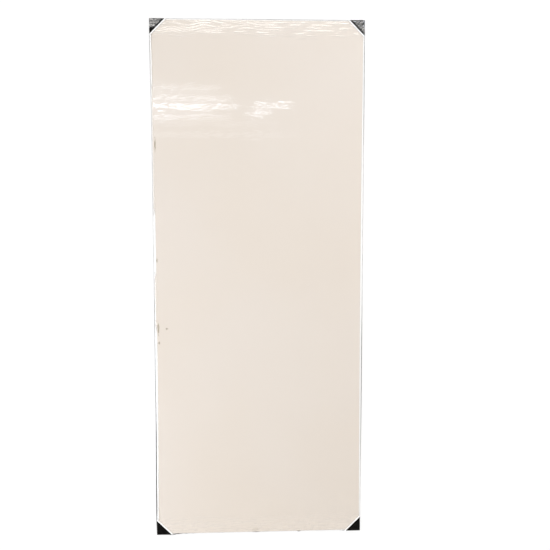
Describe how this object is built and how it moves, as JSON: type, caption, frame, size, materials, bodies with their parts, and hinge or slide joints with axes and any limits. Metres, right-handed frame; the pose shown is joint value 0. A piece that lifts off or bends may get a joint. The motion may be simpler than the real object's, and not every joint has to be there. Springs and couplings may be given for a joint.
{
  "type": "pvc wall panel",
  "caption": "Wide gloss PVC wall panel, hollow, with a tongue edge and a groove edge, sold in clear shrink film with black corner protectors.",
  "frame": {"origin": "centre of the packed panel, on the underside of the film, where the packed panel lies on the floor", "axes": "+Z out of the decor face, +Y along the panel's length towards its top end, +X from the tongue edge towards the groove edge"},
  "size_m": [1.0172, 2.5112, 0.0144],
  "materials": {
    "panel_pvc": "gloss",
    "protector_plastic": "satin",
    "film": "gloss"
  },
  "bodies": {
    "root": {"wall_panel": "panel_pvc", "corner_protector_top_left": "protector_plastic", "corner_protector_top_right": "protector_plastic", "corner_protector_bottom_left": "protector_plastic", "corner_protector_bottom_right": "protector_plastic", "shrink_film": "film"}
  },
  "joints": []
}
